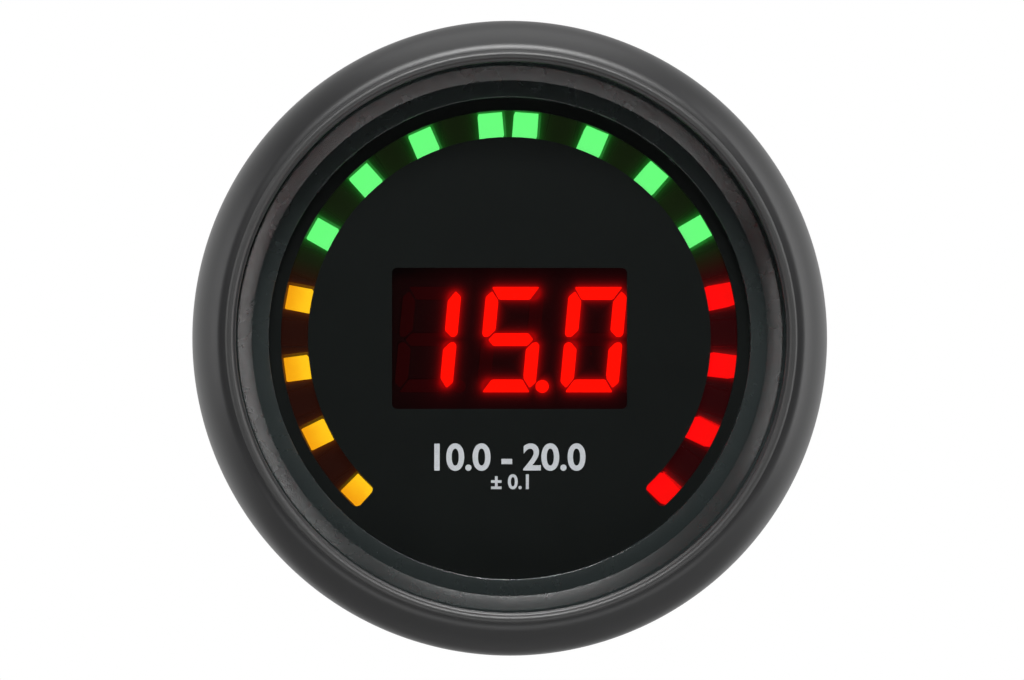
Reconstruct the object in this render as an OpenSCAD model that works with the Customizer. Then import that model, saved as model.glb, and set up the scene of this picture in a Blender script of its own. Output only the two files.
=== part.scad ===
// Air fuel ratio gauge for a round panel hole: an arc of square lights round a three-digit reading.
// Each sub-part is drawn in the gauge's own frame: x to the right, y up and z out of the face, with
// z = 0 where the bezel meets the panel. posed() turns that frame so that the face looks along -Y
// and Z is up. The stack is worked out from the bezel's lip inwards and from the panel backwards.

/* [Bezel] */
// Outer diameter of the rolled bezel
bezel_d = 56.4; // [55.8:0.1:58]
// Height of the crest in front of the panel
bezel_h = 8.9; // [8.6:0.1:11]
// Height of the straight side, up to where the roll starts
bezel_side_h = 4.6; // [4:0.1:5]
// Thickness of the bezel's sheet metal
bezel_t = 0.8; // [0.7:0.05:0.9]
// Width of the roll, from the side in to the crest
roll_w = 2.45; // [2.2:0.05:2.6]
// Width of the beaded land, from the crest in to the lip's edge
land_w = 1.35; // [1.2:0.05:1.5]
// Drop from the crest to the flat land inside it
land_drop = 0.1; // [0.05:0.01:0.2]
// Width and depth of the crease between the crest and the land
crease_w = 0.16; // [0.1:0.01:0.3]
// Depth of the crease below the land
crease_depth = 0.14; // [0.05:0.01:0.3]
// Rounding of the lip's inner edge
lip_edge_r = 0.4; // [0.2:0.05:0.6]
// Rounding of the edge between the side and the panel seat
seat_edge_r = 0.7; // [0.4:0.05:0.7]
// Radius of the fine rolled beads on the land
bead_r = 0.12; // [0.08:0.01:0.15]
// Distance between neighbouring beads
bead_pitch = 0.45; // [0.35:0.05:0.5]

/* [Lens and sight ring] */
// Thickness of the lens
lens_t = 2; // [1.6:0.1:2.4]
// Thickness of the rubber ring behind the lens
gasket_t = 0.8; // [0.6:0.1:1]
// How far the rubber ring stays back from the lip's edge
gasket_reveal = 0.3; // [0.2:0.05:0.4]
// How far the cove's upper edge stays back from the lip's edge
cove_reveal = 0.15; // [0.1:0.01:0.2]
// Width of the cove
cove_w = 1.6; // [1.3:0.05:1.9]
// Width of the step at the foot of the cove
step_w = 1.48; // [1.2:0.02:1.7]
// Height of the step above the dial
step_h = 1.7; // [1.4:0.1:2]
// Drop at the foot of the cove
step_drop = 0.22; // [0.15:0.01:0.3]
// Fall of the step towards the dial
step_fall = 0.15; // [0.1:0.01:0.3]
// Rounding of the sight ring's edge over the dial
view_edge_r = 0.2; // [0.1:0.05:0.3]
// Thickness of the sight ring's outer rim
rim_t = 2.4; // [2:0.1:2.6]
// Height of the collar that centres the lens, above the rubber ring's seat
collar_h = 1.8; // [1.5:0.1:2]
// Wall of the collar
collar_t = 0.8; // [0.6:0.05:0.9]
// Width of the index notch in the step
notch_w = 0.2; // [0.1:0.05:0.4]
// Length of the index notch, inwards from the foot of the cove
notch_l = 0.55; // [0.3:0.05:0.7]
// Turn of the index notch from the top, in degrees
notch_turn = 3.3; // [-10:0.1:10]

/* [Case] */
// How far the bezel's side stands out round the case, which leaves 51.8 mm for a 52.4 mm panel hole
bezel_overhang = 2.3; // [2.2:0.05:2.5]
// Depth of the case behind the panel
case_depth = 35; // [34:0.5:36.5]
// Thickness of the case's sheet metal
case_t = 0.8; // [0.7:0.05:0.9]
// Bend radius of the flange at the case's mouth
flange_bend_r = 0.8; // [0.6:0.05:0.8]
// Outer radius of the case's rear edge
case_edge_r = 2; // [1.5:0.1:2.5]

/* [Dial] */
// Thickness of the dial plate
dial_t = 0.5; // [0.4:0.05:0.6]
// Distance from the sight ring's edge in to the middle of the light arc
arc_inset = 2.27; // [2:0.01:2.5]
// Width of the arc slot
slot_w = 2.4; // [2.3:0.05:2.6]
// Rounding of the slot's corners
slot_corner_r = 0.55; // [0.3:0.05:0.7]
// Length of slot past the middle of the end lights
slot_end = 1.12; // [1.1:0.02:1.3]
// Distance from the middle of the light arc in to the window's sides
window_inset = 8.7; // [8:0.1:10]
// Height of the window above and below the digits
window_rise = 1.65; // [1.2:0.05:2]
// Rounding of the window's corners
window_corner_r = 0.45; // [0.2:0.05:0.8]
// Thickness of the two filters behind the dial
filter_t = 0.4; // [0.3:0.05:0.5]
// Margin of each filter round its opening in the dial
filter_margin = 0.4; // [0.3:0.05:0.5]
// Margin of the display's filter round its window
window_margin = 1.5; // [1.4:0.1:1.6]

/* [Lights] */
// Number of places for a light along the arc
light_places = 30; // [30]
// Angle between neighbouring places
light_turn = 9.3; // [9:0.1:9.4]
// Gap between the square lights in neighbouring places
light_gap = 0.87; // [0.7:0.01:1.1]

/* [Display] */
// Margin of the three-digit module round the window
display_margin = 0.7; // [0.5:0.05:0.9]
// Depth of the three-digit module
display_depth = 7.2; // [7:0.1:7.6]
// Depth of a segment in the module's face
segment_depth = 1; // [0.8:0.1:1.4]
// Lean of the digits, in degrees
digit_lean = 5.5; // [4:0.5:7]
// Thickness of the module's pins
pin_t = 0.5; // [0.4:0.05:0.6]
// Distance of the pin rows in from the module's upper and lower edges
pin_row_inset = 1.92; // [1.8:0.02:2.1]

/* [Boards] */
// Thickness of both circuit boards
board_t = 1.6; // [1.4:0.1:1.8]
// Clear distance between the rear board and the case's rear wall
rear_space = 10.2; // [9.6:0.1:11]
// Width across the flats of the board spacers and posts
spacer_af = 5; // [4.6:0.1:5]
// Radius of the screw thread in the spacers and posts
spacer_thread_r = 1.45; // [1.35:0.05:1.5]
// Length of thread that a spacer's stub and a case screw reach into a post
thread_reach = 4; // [3:0.5:4.5]
// Radius of a case screw's head
screw_head_r = 2.7; // [2.4:0.1:2.8]
// Height of a case screw's head
screw_head_h = 1.7; // [1.4:0.1:2]
// Width of the cross slots in a case screw's head
screw_slot_w = 0.7; // [0.5:0.05:0.9]

/* [Harness inlet] */
// Width of the inlet socket
inlet_w = 14.2; // [13.8:0.1:14.6]
// Height of the inlet socket
inlet_h = 9.2; // [9:0.1:9.4]
// Wall of the inlet socket
inlet_wall = 1.1; // [0.9:0.05:1.2]
// Depth of the inlet's mouth
inlet_mouth_depth = 9.5; // [9:0.1:10]
// How far the inlet stands out behind the case
inlet_reach = 3.5; // [3:0.1:3.8]
// Height of the inlet below the gauge's middle
inlet_drop = 13; // [12.8:0.1:13.2]
// Width of the key slot in the inlet's lower wall
key_w = 4; // [3:0.1:5]
// Depth of the key slot, in from the mouth
key_depth = 4.5; // [3:0.1:6]
// Thickness of the inlet's pins
inlet_pin_t = 0.64; // [0.6:0.01:0.8]
// Distance between the inlet's pins
inlet_pin_gap = 3; // [2.8:0.1:3.2]
// How far the pins' tips lie inside the mouth
inlet_pin_recess = 4.5; // [4.3:0.1:5]

/* [Studs and clamp] */
// Outer radius of the studs' thread
stud_r = 2.083; // [2:0.001:2.1]
// Distance of the studs' middles in from the case's wall
stud_inset = 8.1; // [7.6:0.1:9]
// Length of stud behind the case
stud_l = 25; // [24.5:0.1:28]
// Radius of the stud's head inside the case
stud_head_r = 3.8; // [3.4:0.1:4]
// Thickness of the stud's head
stud_head_t = 1.4; // [1:0.1:1.6]
// Width across the flats of the nut that locks a stud
stud_nut_af = 8.73; // [8.4:0.01:8.8]
// Thickness of the nut that locks a stud
stud_nut_t = 3.3; // [3:0.1:3.4]
// Width of the bracket's strip
strip_w = 12; // [11:0.1:12]
// Thickness of the bracket's strip
strip_t = 1; // [0.8:0.1:1.1]
// Gap between the case and each of the bracket's legs
leg_gap = 0.9; // [0.85:0.05:1.2]
// Gap between the case's rear wall and the bracket's back, at rest
web_gap = 9.5; // [9.3:0.1:11]
// Inside radius of the bracket's bends
strip_bend_r = 2; // [1.5:0.1:2.5]
// Rounding of the legs' corners
strip_corner_r = 1.5; // [0.5:0.1:3]
// Gap between the panel face and the legs' tips at rest
panel_gap = 6; // [5.6:0.1:6.2]
// Outer radius of the pressed rib along the bracket's back
rib_r = 1.8; // [1.5:0.1:2]
// Gap between the rib's ends and the lock washers
rib_gap = 1.5; // [1:0.1:3]
// Thickness of the lock washers
washer_t = 1; // [0.8:0.1:1.1]
// Outer radius of the lock washers
washer_r = 3.7; // [3.4:0.1:3.8]
// Width of the split in the lock washers
washer_split = 0.6; // [0.4:0.1:0.9]
// Outer radius of the thumb nuts' knurl
thumb_nut_r = 5.5; // [5.2:0.1:5.8]
// Height of the thumb nuts
thumb_nut_h = 7; // [6.5:0.1:7.4]
// Radius of the thumb nuts' collar
nut_collar_r = 4.1; // [3.9:0.1:4.4]
// Height of the thumb nuts' collar
nut_collar_h = 1.6; // [1:0.1:2]
// Depth of the knurl's grooves
knurl_depth = 0.35; // [0.2:0.05:0.45]
// Number of the knurl's ridges
knurl_count = 32; // [24:1:40]

/* [Hidden] */
$fn = 96;
arc_steps = 10;
roll_steps = 22;
// One overrun for every cut
over = 1;
// Clearance of the rim and flange inside the bezel
shell_gap = 0.2;
// Clearance between the bezel's crimp and the flange's bend
crimp_gap = 0.05;
// Clearance of the lens inside the roll and inside its collar
lens_fit = 0.15;
collar_fit = 0.2;
// Clearance of the dial, housing and boards inside the case
dial_fit = 0.2;
housing_fit = 0.3;
led_board_fit = 0.5;
control_board_fit = 0.8;
// Clearance of filters, lights and display in the housing
filter_fit = 0.1;
light_fit = 0.1;
display_fit = 0.2;
// Gap in front of the lights and the display
face_gap = 0.1;
// Clearances round leads, threads, stubs and the inlet
lead_fit = 0.08;
thread_fit = 0.05;
stub_fit = 0.1;
stud_fit = 0.12;
strip_hole_fit = 0.27;
washer_fit = 0.12;
inlet_fit = 0.2;

// Radii
bezel_r = bezel_d / 2;
bezel_in_r = bezel_r - bezel_t;
crest_r = bezel_r - roll_w;
lip_r = crest_r - land_w;
case_r = bezel_r - bezel_overhang;
case_in_r = case_r - case_t;
flange_r = bezel_in_r - shell_gap;
crimp_r = case_r + flange_bend_r + crimp_gap;
lens_r = crest_r - lens_fit;
collar_in_r = lens_r + collar_fit;
cove_r = lip_r + cove_reveal;
step_r = cove_r - cove_w;
dial_view_r = step_r - step_w;
arc_r = dial_view_r - arc_inset;
dial_r = case_in_r - dial_fit;
housing_r = case_in_r - housing_fit;
led_board_r = case_in_r - led_board_fit;
control_board_r = case_in_r - control_board_fit;

// Levels along z, from the lens down to the case's rear wall
land_z = bezel_h - land_drop;
lens_top = land_z - bezel_t;
lens_low = lens_top - lens_t;
ring_top = lens_low - gasket_t;
flange_low = bezel_t;
dial_top = flange_low + case_t;
dial_low = dial_top - dial_t;
filter_low = dial_low - filter_t;
face_z = filter_low - face_gap;
led_board_top = face_z - display_depth;
led_board_low = led_board_top - board_t;
case_floor = case_t - case_depth;
control_board_low = case_floor + rear_space;
control_board_top = control_board_low + board_t;
inlet_mouth = -case_depth - inlet_reach;
inlet_floor = inlet_mouth + inlet_mouth_depth;

// Levels of the clamp at rest
leg_tip = -panel_gap;
web_in = -case_depth - web_gap;
web_out = web_in - strip_t;
washer_out = web_out - washer_t;
nut_out = washer_out - thumb_nut_h;
stud_x = case_in_r - stud_inset;
rib_l = 2 * (stud_x - washer_r - rib_gap - rib_r);

// Lights: places are counted clockwise from the lower left
first_place_angle = -light_turn * (light_places - 1) / 2;
light_side = 2 * arc_r * sin(light_turn / 2) - light_gap;
amber_places = [0, 2, 4, 6];
green_places = [8, 10, 12, 14, 15, 17, 19, 21];
red_places = [23, 25, 27, 29];
lit_places = concat(amber_places, green_places, red_places);
unlit_places = [for (i = [0:light_places - 1]) if (len(search(i, lit_places)) == 0) i];
all_places = [for (i = [0:light_places - 1]) i];
slot_end_angle = -first_place_angle + asin(slot_end / arc_r);
filter_end_angle = -first_place_angle + asin((slot_end + filter_margin) / arc_r);
recess_end_angle = -first_place_angle + asin((slot_end + filter_margin + filter_fit) / arc_r);

// Digits: the reading is 15.0, segments are a to g clockwise from the top with g in the middle
digit_names = ["left", "middle", "right"];
digit_lit = ["bc", "acdfg", "abcdef"];
digit_unlit = ["adefg", "be", "g"];
lit_point = 1;
// Sizes of the digits, as shares of the window's width, the digits' spacing and a digit's height
digit_step_share = 0.3524;
digit_w_share = 0.703;
digit_h_share = 1.257;
segment_w_share = 0.1237;
point_r_share = 0.0591;
point_x_share = 0.301;
point_rise_share = 0.0484;
pin_step_share = 0.343;
window_w = 2 * (arc_r - window_inset);
digit_step = window_w * digit_step_share;
digit_w = digit_step * digit_w_share;
digit_h = digit_step * digit_h_share;
segment_w = digit_h * segment_w_share;
point_r = digit_h * point_r_share;
point_x = digit_h * point_x_share;
point_y = digit_h * point_rise_share - digit_h / 2;
window_h = digit_h + 2 * window_rise;
display_w = window_w + 2 * display_margin;
display_h = window_h + 2 * display_margin;
pin_step = digit_step * pin_step_share;
pin_row_y = display_h / 2 - pin_row_inset;
// Corners of a segment, as shares of the segment's width in from the digit's outline
bar_end_share = 0.5;
bar_inner_share = 1.15;
post_tip_share = 0.5;
post_tip_in_share = 0.35;
post_outer_share = 0.85;
post_inner_share = 1.3;
waist_tip_share = 0.12;
waist_outer_share = 0.3;
waist_inner_share = 0.72;
middle_end_share = 0.5;
middle_flat_share = 1;

// Places of spacers, posts, screws and parts, as shares of the rear board's radius
spacer_shares = [[0.391, 0.494], [-0.391, 0.494], [0.51, -0.37], [-0.51, -0.37]];
header_shares = [0, 0.494];
chip_shares = [0, -0.12];
crystal_shares = [0.494, 0];
regulator_shares = [0.29, 0.04];
capacitor_shares = [-0.305, 0.08];
spacer_places = [for (share = spacer_shares) share * control_board_r];
header_place = header_shares * control_board_r;
chip_place = chip_shares * control_board_r;
crystal_place = crystal_shares * control_board_r;
regulator_place = regulator_shares * control_board_r;
capacitor_place = capacitor_shares * control_board_r;

// Sizes of the parts on the boards
display_pin_count = 6;
display_pin_tail = 2;
header_columns = 3;
header_pin_t = 0.64;
header_step = 2.54;
header_base_h = 2.5;
header_pin_tail = 1.2;
header_pin_short = 0.2;
chip_side = 10;
chip_t = 1.5;
chip_leg_w = 0.35;
chip_leg_l = 1;
chip_leg_t = 0.2;
chip_leg_rows = 8;
chip_leg_step = 1.1;
crystal_w = 3.8;
crystal_l = 8;
crystal_h = 2.5;
crystal_corner_share = 0.45;
regulator_w = 6.6;
regulator_l = 6.1;
regulator_h = 2.4;
regulator_tab_w = 5.2;
regulator_tab_t = 0.6;
regulator_tab_l = 1;
regulator_leg_w = 0.8;
regulator_leg_l = 2.7;
regulator_leg_t = 0.5;
regulator_leg_step = 2.3;
capacitor_r = 4;
capacitor_h = 7.6;
capacitor_base_h = 1;
capacitor_edge_r = 0.5;
inlet_pin_tail = 1;
inlet_columns = 3;
stud_chamfer = 0.5;
nut_chamfer = 0.5;

// Points of a circular arc
function arc(centre, radius, from, to) =
    [for (i = [0:arc_steps]) let (a = from + (to - from) * i / arc_steps) centre + radius * [cos(a), sin(a)]];

// Points of an arc of an ellipse
function oval(centre, half_w, half_h, from, to) =
    [for (i = [0:roll_steps])
        let (a = from + (to - from) * i / roll_steps)
        centre + [half_w * cos(a), half_h * sin(a)]];

// A point leaned over with the digits
function leaned(point) = [point.x + point.y * tan(digit_lean), point.y];

// Turns the gauge's frame to the part's: face along -Y, Z up
module posed() {
    rotate([90, 0, 0])
        children();
}

// A round piece between two levels
module disc(radius, low, high) {
    translate([0, 0, low])
        cylinder(r = radius, h = high - low);
}

// A ring between two levels
module ring(outer, inner, low, high) {
    difference() {
        disc(outer, low, high);
        disc(inner, low - over, high + over);
    }
}

// A block with its middle at a place, between two levels
module block(place, width, height, low, high) {
    translate([place.x - width / 2, place.y - height / 2, low])
        cube([width, height, high - low]);
}

// A hexagon bar between two levels, by its width across the flats
module hexagon(across_flats, low, high) {
    translate([0, 0, low])
        cylinder(d = across_flats / cos(30), h = high - low, $fn = 6);
}

// A rectangle with true round corners
module rounded_rectangle(width, height, corner) {
    square([width - 2 * corner, height], center = true);
    square([width, height - 2 * corner], center = true);
    for (x = [-1, 1], y = [-1, 1])
        translate([x * (width / 2 - corner), y * (height / 2 - corner)])
            circle(r = corner, $fn = 32);
}

// A band of the light arc, from -end_angle to end_angle clockwise from the top
module arc_band(outer, inner, end_angle) {
    far = 2 * outer;
    half_w = far * tan(180 - end_angle);
    difference() {
        circle(r = outer);
        circle(r = inner);
        polygon([[0, 0], [half_w, -far], [-half_w, -far]]);
    }
}

// A solid along the light arc, its four corners rounded
module arc_slot(width, end_angle, corner, low, high) {
    outer = arc_r + width / 2;
    inner = arc_r - width / 2;
    outer_corner_angle = asin(corner / (outer - corner));
    inner_corner_angle = asin(corner / (inner + corner));
    translate([0, 0, low])
        linear_extrude(high - low) {
            arc_band(outer, inner, end_angle - inner_corner_angle);
            arc_band(outer - corner, inner + corner, end_angle);
            for (side = [-1, 1]) {
                rotate([0, 0, side * (end_angle - outer_corner_angle)])
                    translate([0, outer - corner])
                        circle(r = corner, $fn = 32);
                rotate([0, 0, side * (end_angle - inner_corner_angle)])
                    translate([0, inner + corner])
                        circle(r = corner, $fn = 32);
            }
        }
}

// Carries children to a light's place on the arc
module at_place(i) {
    rotate([0, 0, -first_place_angle - i * light_turn])
        translate([0, arc_r, 0])
            children();
}

// Carries children to every spacer
module at_spacers() {
    for (place = spacer_places)
        translate([place.x, place.y, 0])
            children();
}

// Carries children to every pin of the display module
module at_display_pins() {
    for (i = [0:display_pin_count - 1], side = [-1, 1])
        translate([(i - (display_pin_count - 1) / 2) * pin_step, side * pin_row_y, 0])
            children();
}

// Carries children to every pin between the two boards
module at_header_pins() {
    for (i = [0:header_columns - 1], side = [-1, 1])
        translate([(i - (header_columns - 1) / 2) * header_step, header_place.y + side * header_step / 2, 0])
            children();
}

// Carries children to every pin of the inlet
module at_inlet_pins() {
    for (i = [0:inlet_columns - 1], side = [-1, 1])
        translate([(i - (inlet_columns - 1) / 2) * inlet_pin_gap, side * inlet_pin_gap / 2 - inlet_drop, 0])
            children();
}

// Bezel: one rolled sheet-metal ring. The side turns over in a hollow roll to the crest, a crease and a
// beaded land lead to the lip in front of the lens, and the rear edge is crimped in behind the flange.
module bezel() {
    outside = concat(
        [[crimp_r, 0]],
        arc([bezel_r - seat_edge_r, seat_edge_r], seat_edge_r, -90, 0),
        oval([crest_r, bezel_side_h], bezel_r - crest_r, bezel_h - bezel_side_h, 0, 90),
        [[crest_r - crease_w / 2, land_z - crease_depth], [crest_r - crease_w, land_z]],
        arc([lip_r + lip_edge_r, land_z - lip_edge_r], lip_edge_r, 90, 180)
    );
    inside = concat(
        [[lip_r, lens_top]],
        oval([crest_r, bezel_side_h], bezel_in_r - crest_r, lens_top - bezel_side_h, 90, 0),
        [[bezel_in_r, bezel_t], [crimp_r, bezel_t]]
    );
    color("dimgray")
        posed()
            rotate_extrude() {
                polygon(concat(outside, inside));
                for (i = [1, 2])
                    translate([crest_r - i * bead_pitch, land_z])
                        circle(r = bead_r, $fn = 24);
            }
}

// Lens: a flat disc of clear glass, held between the lip and the rubber ring
module lens() {
    color("lightcyan", 0.3)
        posed()
            disc(lens_r, lens_low, lens_top);
}

// Rubber ring that seals the lens and takes up the stack's play
module lens_gasket() {
    color("black")
        posed()
            ring(lens_r, lip_r + gasket_reveal, ring_top, lens_low);
}

// Sight ring: a moulded ring whose cove and step lead the eye from the lens down to the dial
module sight_ring() {
    step_z = dial_top + step_h;
    low_z = step_z - step_drop - step_fall;
    section = concat(
        [[dial_view_r, dial_top], [flange_r, dial_top], [flange_r, dial_top + rim_t]],
        [[collar_in_r + collar_t, dial_top + rim_t], [collar_in_r + collar_t, ring_top + collar_h]],
        [[collar_in_r, ring_top + collar_h], [collar_in_r, ring_top]],
        oval([step_r, ring_top], cove_r - step_r, ring_top - step_z, 0, -90),
        [[step_r, step_z - step_drop]],
        arc([dial_view_r + view_edge_r, low_z - view_edge_r], view_edge_r, 90, 180)
    );
    color("darkslategray")
        posed()
            difference() {
                rotate_extrude()
                    polygon(section);
                rotate([0, 0, notch_turn])
                    block([0, step_r - notch_l / 2], notch_w, notch_l, low_z - step_drop, step_z + over);
            }
}

// Dial face: a thin blackened plate with the arc slot and the display window
module dial_face() {
    color("black")
        posed()
            difference() {
                disc(dial_r, dial_low, dial_top);
                arc_slot(slot_w, slot_end_angle, slot_corner_r, dial_low - over, dial_top + over);
                translate([0, 0, dial_low - over])
                    linear_extrude(dial_t + 2 * over)
                        rounded_rectangle(window_w, window_h, window_corner_r);
            }
}

// Smoked strip behind the arc slot
module arc_filter() {
    width = slot_w + 2 * filter_margin;
    color("darkolivegreen", 0.8)
        posed()
            arc_slot(width, filter_end_angle, slot_corner_r, filter_low, dial_low);
}

// Dark red window behind the display opening
module display_filter() {
    color("darkred", 0.8)
        posed()
            translate([0, 0, filter_low])
                linear_extrude(filter_t)
                    rounded_rectangle(window_w + 2 * window_margin, window_h + 2 * window_margin, window_corner_r);
}

// Light housing: the moulded block that keeps each light's glow in its own square pocket, with shallow
// recesses for both filters and an opening for the display module
module light_housing() {
    pocket = light_side + 2 * light_fit;
    filter_w = window_w + 2 * window_margin + 2 * filter_fit;
    filter_h = window_h + 2 * window_margin + 2 * filter_fit;
    recess_w = slot_w + 2 * filter_margin + 2 * filter_fit;
    color("dimgray")
        posed()
            difference() {
                disc(housing_r, led_board_top, dial_low);
                for (i = all_places)
                    at_place(i)
                        block([0, 0], pocket, pocket, led_board_top - over, dial_low + over);
                block([0, 0], display_w + 2 * display_fit, display_h + 2 * display_fit,
                    led_board_top - over, dial_low + over);
                block([0, 0], filter_w, filter_h, filter_low, dial_low + over);
                arc_slot(recess_w, recess_end_angle, slot_corner_r + filter_fit, filter_low, dial_low + over);
            }
}

// One square light, from the front board to its face
module light(i) {
    at_place(i)
        block([0, 0], light_side, light_side, led_board_top, face_z);
}

// One light of a colour, counted clockwise
module coloured_light(places, i, tint) {
    color(tint)
        posed()
            light(places[i - 1]);
}

// The lights that stay dark between the lit ones
module lights_unlit() {
    color("olive")
        posed()
            for (i = unlit_places)
                light(i);
}

// Corners of one segment of a digit, seen from the front, before the digit is leaned
function segment_points(name) =
    let (w = digit_w / 2, h = digit_h / 2, t = segment_w)
    let (bar = [
        [bar_end_share * t - w, h],
        [w - bar_end_share * t, h],
        [w - bar_inner_share * t, h - t],
        [bar_inner_share * t - w, h - t],
    ])
    let (post = [
        [w - post_tip_in_share * t, h - post_tip_share * t],
        [w, h - post_outer_share * t],
        [w, waist_outer_share * t],
        [w - post_tip_in_share * t, waist_tip_share * t],
        [w - t, waist_inner_share * t],
        [w - t, h - post_inner_share * t],
    ])
    let (middle = [
        [middle_end_share * t - w, 0],
        [middle_flat_share * t - w, t / 2],
        [w - middle_flat_share * t, t / 2],
        [w - middle_end_share * t, 0],
        [w - middle_flat_share * t, -t / 2],
        [middle_flat_share * t - w, -t / 2],
    ])
    name == "a" ? bar :
    name == "d" ? [for (p = bar) [p.x, -p.y]] :
    name == "b" ? post :
    name == "c" ? [for (p = post) [p.x, -p.y]] :
    name == "e" ? [for (p = post) [-p.x, -p.y]] :
    name == "f" ? [for (p = post) [-p.x, p.y]] :
    middle;

// Segments of one digit, as solids from the module's face down
module segments(digit, names, low, high) {
    for (name = names)
        translate([(digit - 1) * digit_step, 0, low])
            linear_extrude(high - low)
                polygon([for (p = segment_points(name)) leaned(p)]);
}

// Decimal point of one digit, as a solid from the module's face down
module point(digit, low, high) {
    translate([(digit - 1) * digit_step + point_x, point_y, 0])
        disc(point_r, low, high, $fn = 32);
}

// Case of the three-digit module, with a cavity for each segment and point
module display_case() {
    color("maroon")
        posed()
            difference() {
                block([0, 0], display_w, display_h, led_board_top, face_z);
                for (digit = [0:2]) {
                    segments(digit, "abcdefg", face_z - segment_depth, face_z + over);
                    point(digit, face_z - segment_depth, face_z + over);
                }
            }
}

// Glowing segments of one digit
module digit_lit_segments(digit) {
    color("red")
        posed()
            segments(digit, digit_lit[digit], face_z - segment_depth, face_z);
}

// Dark segments of one digit
module digit_unlit_segments(digit) {
    color("indianred")
        posed()
            segments(digit, digit_unlit[digit], face_z - segment_depth, face_z);
}

// The decimal point that glows
module decimal_point_lit() {
    color("red")
        posed()
            point(lit_point, face_z - segment_depth, face_z);
}

// The decimal points that stay dark
module decimal_points_unlit() {
    color("indianred")
        posed()
            for (digit = [0:2])
                if (digit != lit_point)
                    point(digit, face_z - segment_depth, face_z);
}

// Pins of the three-digit module
module display_pins() {
    color("silver")
        posed()
            at_display_pins()
                block([0, 0], pin_t, pin_t, led_board_low - display_pin_tail, led_board_top);
}

// Front board, which carries the lights and the display
module led_board() {
    color("darkgreen")
        posed()
            difference() {
                disc(led_board_r, led_board_low, led_board_top);
                at_display_pins()
                    disc(pin_t / sqrt(2) + lead_fit, led_board_low - over, led_board_top + over, $fn = 24);
                at_header_pins()
                    disc(header_pin_t / sqrt(2) + lead_fit, led_board_low - over, led_board_top + over, $fn = 24);
                at_spacers()
                    disc(spacer_thread_r + stub_fit, led_board_low - over, led_board_top + over);
            }
}

// Hexagon spacers between the boards, with a swaged stub in front and a threaded stub behind
module board_spacers() {
    color("goldenrod")
        posed()
            at_spacers() {
                hexagon(spacer_af, control_board_top, led_board_low);
                disc(spacer_thread_r, control_board_low - thread_reach, led_board_top);
            }
}

// One of the two bases of the stacking header between the boards
module header_base(low) {
    high = low + header_base_h;
    color("dimgray")
        posed()
            difference() {
                block(header_place, header_columns * header_step, 2 * header_step, low, high);
                at_header_pins()
                    block([0, 0], header_pin_t, header_pin_t, low - over, high + over);
            }
}

// Pins of the stacking header, soldered in both boards
module header_pins() {
    color("gold")
        posed()
            at_header_pins()
                block([0, 0], header_pin_t, header_pin_t,
                    control_board_low - header_pin_tail, led_board_top - header_pin_short);
}

// Rear board, which carries the processor, the supply and the inlet
module control_board() {
    color("darkgreen")
        posed()
            difference() {
                disc(control_board_r, control_board_low, control_board_top);
                at_header_pins()
                    disc(header_pin_t / sqrt(2) + lead_fit, control_board_low - over,
                        control_board_top + over, $fn = 24);
                at_inlet_pins()
                    disc(inlet_pin_t / sqrt(2) + lead_fit, control_board_low - over,
                        control_board_top + over, $fn = 24);
                at_spacers()
                    disc(spacer_thread_r + stub_fit, control_board_low - over, control_board_top + over);
            }
}

// Processor with its rows of legs
module microcontroller() {
    color("darkslategray")
        posed()
            translate(chip_place) {
                block([0, 0], chip_side, chip_side, control_board_top, control_board_top + chip_t);
                for (i = [0:chip_leg_rows - 1], turn = [0:90:270])
                    rotate([0, 0, turn])
                        block([(i - (chip_leg_rows - 1) / 2) * chip_leg_step, (chip_side + chip_leg_l) / 2],
                            chip_leg_w, chip_leg_l, control_board_top, control_board_top + chip_leg_t);
            }
}

// Crystal in its flat can
module crystal() {
    color("silver")
        posed()
            translate(crystal_place)
                translate([0, 0, control_board_top])
                    linear_extrude(crystal_h)
                        rounded_rectangle(crystal_w, crystal_l, crystal_w * crystal_corner_share);
}

// Supply regulator lying on the rear board, with its tab and legs
module voltage_regulator() {
    leg_top = control_board_low - regulator_leg_t;
    tab_y = (regulator_l + regulator_tab_l) / 2;
    color("dimgray")
        posed()
            translate(regulator_place) {
                block([0, 0], regulator_w, regulator_l, control_board_low - regulator_h, control_board_low);
                block([0, tab_y], regulator_tab_w, regulator_tab_l,
                    control_board_low - regulator_tab_t, control_board_low);
                for (side = [-1, 1])
                    block([side * regulator_leg_step, -(regulator_l + regulator_leg_l) / 2],
                        regulator_leg_w, regulator_leg_l, leg_top, control_board_low);
            }
}

// Supply capacitor: a can on a square base
module supply_capacitor() {
    low = control_board_low - capacitor_h;
    color("slateblue")
        posed()
            translate(capacitor_place) {
                block([0, 0], 2 * capacitor_r, 2 * capacitor_r,
                    control_board_low - capacitor_base_h, control_board_low);
                rotate_extrude()
                    polygon(concat(
                        [[0, control_board_low - capacitor_base_h], [0, low]],
                        arc([capacitor_r - capacitor_edge_r, low + capacitor_edge_r], capacitor_edge_r, -90, 0),
                        [[capacitor_r, control_board_low - capacitor_base_h]]
                    ));
            }
}

// Hexagon posts between the rear board and the case's rear wall
module board_posts() {
    color("goldenrod")
        posed()
            at_spacers()
                difference() {
                    hexagon(spacer_af, case_floor, control_board_low);
                    disc(spacer_thread_r + thread_fit, case_floor - over, control_board_low + over);
                }
}

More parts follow.
